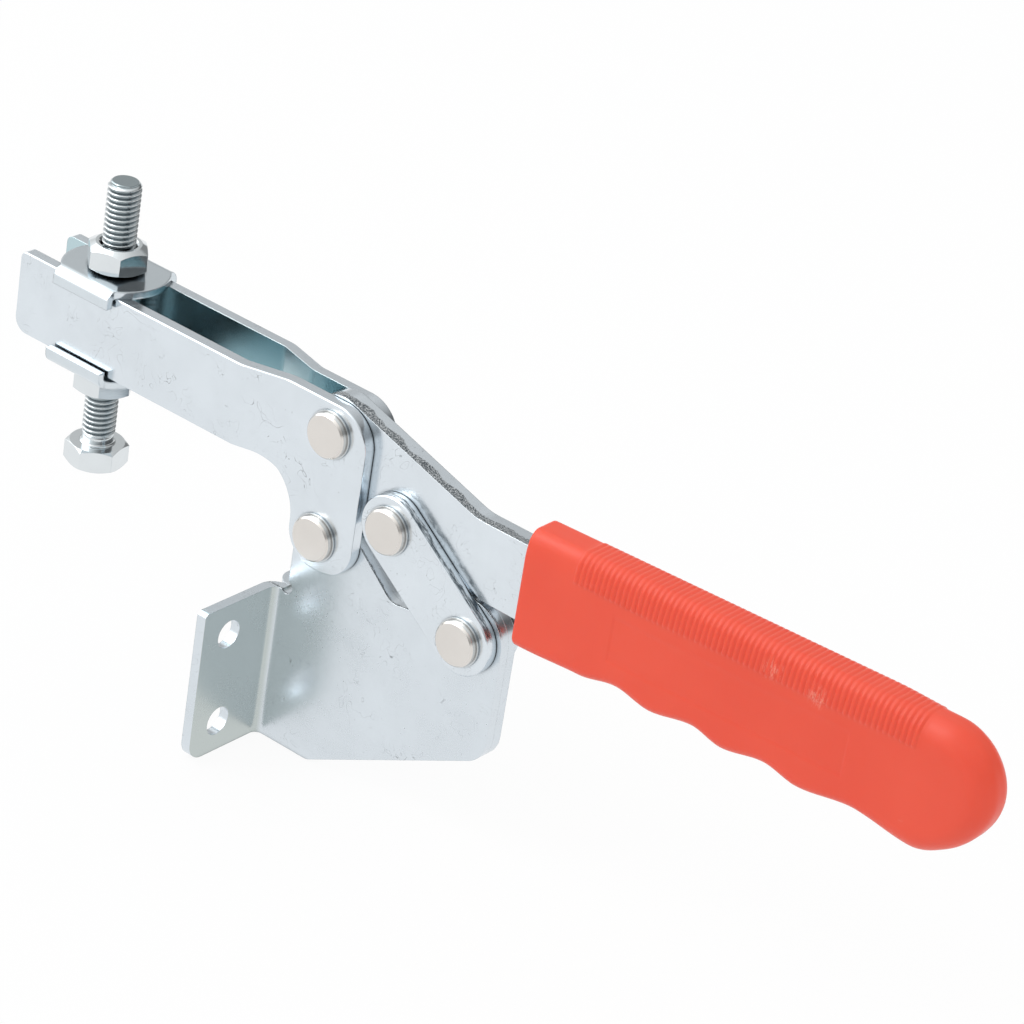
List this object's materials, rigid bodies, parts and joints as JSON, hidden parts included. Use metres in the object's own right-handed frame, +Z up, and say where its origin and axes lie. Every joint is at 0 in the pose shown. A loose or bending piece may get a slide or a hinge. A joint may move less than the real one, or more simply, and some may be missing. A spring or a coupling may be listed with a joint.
{
  "type": "toggle clamp",
  "caption": "Horizontal-handle toggle clamp with flanged base, slotted two-strap arm, adjustable screw spindle and ribbed moulded grip.",
  "frame": {"origin": "centre of the flange's four-hole pattern on its mounting face", "axes": "+X from the clamping spindle back to the handle's butt, +Z up, left is -Y"},
  "size_m": [0.2689, 0.0506, 0.1145],
  "materials": {
    "zinc_plate": "bright zinc plated stamped steel",
    "bright_hardware": "bright zinc plated nuts and screw",
    "rivet_steel": "matt nickel-toned rivet steel",
    "red_grip": "soft satin moulded plastic"
  },
  "bodies": {
    "base": {"left_base_plate": "zinc_plate", "right_base_plate": "zinc_plate", "arm_pivot_rivet": "rivet_steel", "link_low_rivet": "rivet_steel"},
    "arm": {"left_arm_plate": "zinc_plate", "right_arm_plate": "zinc_plate", "left_arm_pivot_bush": "rivet_steel", "right_arm_pivot_bush": "rivet_steel", "left_bar_pivot_bush": "rivet_steel", "right_bar_pivot_bush": "rivet_steel", "bar_pivot_rivet": "rivet_steel"},
    "link": {"left_link": "zinc_plate", "right_link": "zinc_plate", "left_link_top_bush": "rivet_steel", "right_link_top_bush": "rivet_steel", "left_link_low_bush": "rivet_steel", "right_link_low_bush": "rivet_steel", "link_top_rivet": "rivet_steel"},
    "handle": {"handle_bar": "zinc_plate", "handle_grip": "red_grip"},
    "carriage": {"upper_flanged_washer": "zinc_plate", "lower_flanged_washer": "zinc_plate", "upper_nut": "bright_hardware", "lower_nut": "bright_hardware"},
    "spindle": {"spindle_bolt": "bright_hardware"}
  },
  "joints": [
    {"name": "arm_hinge", "type": "hinge", "parent": "base", "child": "arm", "pos_m": [0.0144, 0, 0.0383], "axis": [0, 1, 0], "range_deg": [0, 58.84]},
    {"name": "link_hinge", "type": "hinge", "parent": "base", "child": "link", "pos_m": [0.0574, 0, 0.0321], "axis": [0, 1, 0], "range_deg": [0, 58.06]},
    {"name": "handle_hinge", "type": "hinge", "parent": "link", "child": "handle", "pos_m": [0.0341, 0, 0.0491], "axis": [0, -1, 0], "range_deg": [0, 118.06]},
    {"name": "spindle_place", "type": "slide", "parent": "arm", "child": "carriage", "axis": [1, 0, 0], "range_m": [-0.008, 0.034]},
    {"name": "spindle_height", "type": "slide", "parent": "carriage", "child": "spindle", "axis": [0, 0, 1], "range_m": [-0.012, 0.012]}
  ],
  "couplings": [
    {"joint": "link_hinge", "follows": "arm_hinge", "ratio": 0.98651},
    {"joint": "handle_hinge", "follows": "arm_hinge", "ratio": 2.0062}
  ]
}
